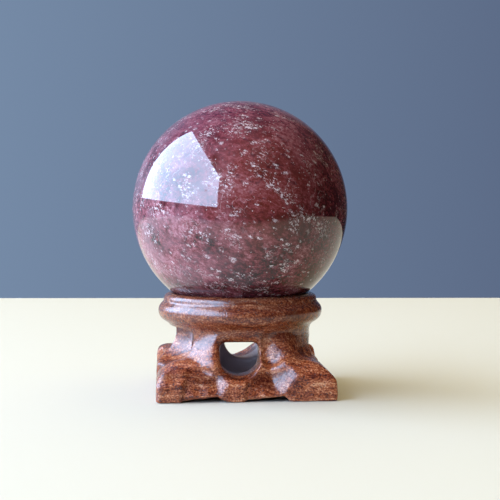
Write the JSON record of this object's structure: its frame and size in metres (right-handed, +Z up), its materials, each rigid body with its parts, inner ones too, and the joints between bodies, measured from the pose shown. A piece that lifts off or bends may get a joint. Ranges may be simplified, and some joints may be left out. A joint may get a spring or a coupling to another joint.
{
  "type": "decorative sphere",
  "caption": "Polished stone sphere resting in the dished ring of a carved wooden stand with a turned neck, pierced sides and a square scooped foot.",
  "frame": {"origin": "on the vertical axis through the sphere's centre, level with the undersides of the stand's feet", "axes": "+Z up, -Y towards the front, +X to the right as seen from the front"},
  "size_m": [0.06, 0.06, 0.0807],
  "materials": {
    "stone": "polished, dark plum red with fine pale flecks",
    "rosewood": "waxed reddish-brown hardwood with dark grain and open pores"
  },
  "bodies": {
    "root": {"sphere": "stone", "stand": "rosewood"}
  },
  "joints": []
}
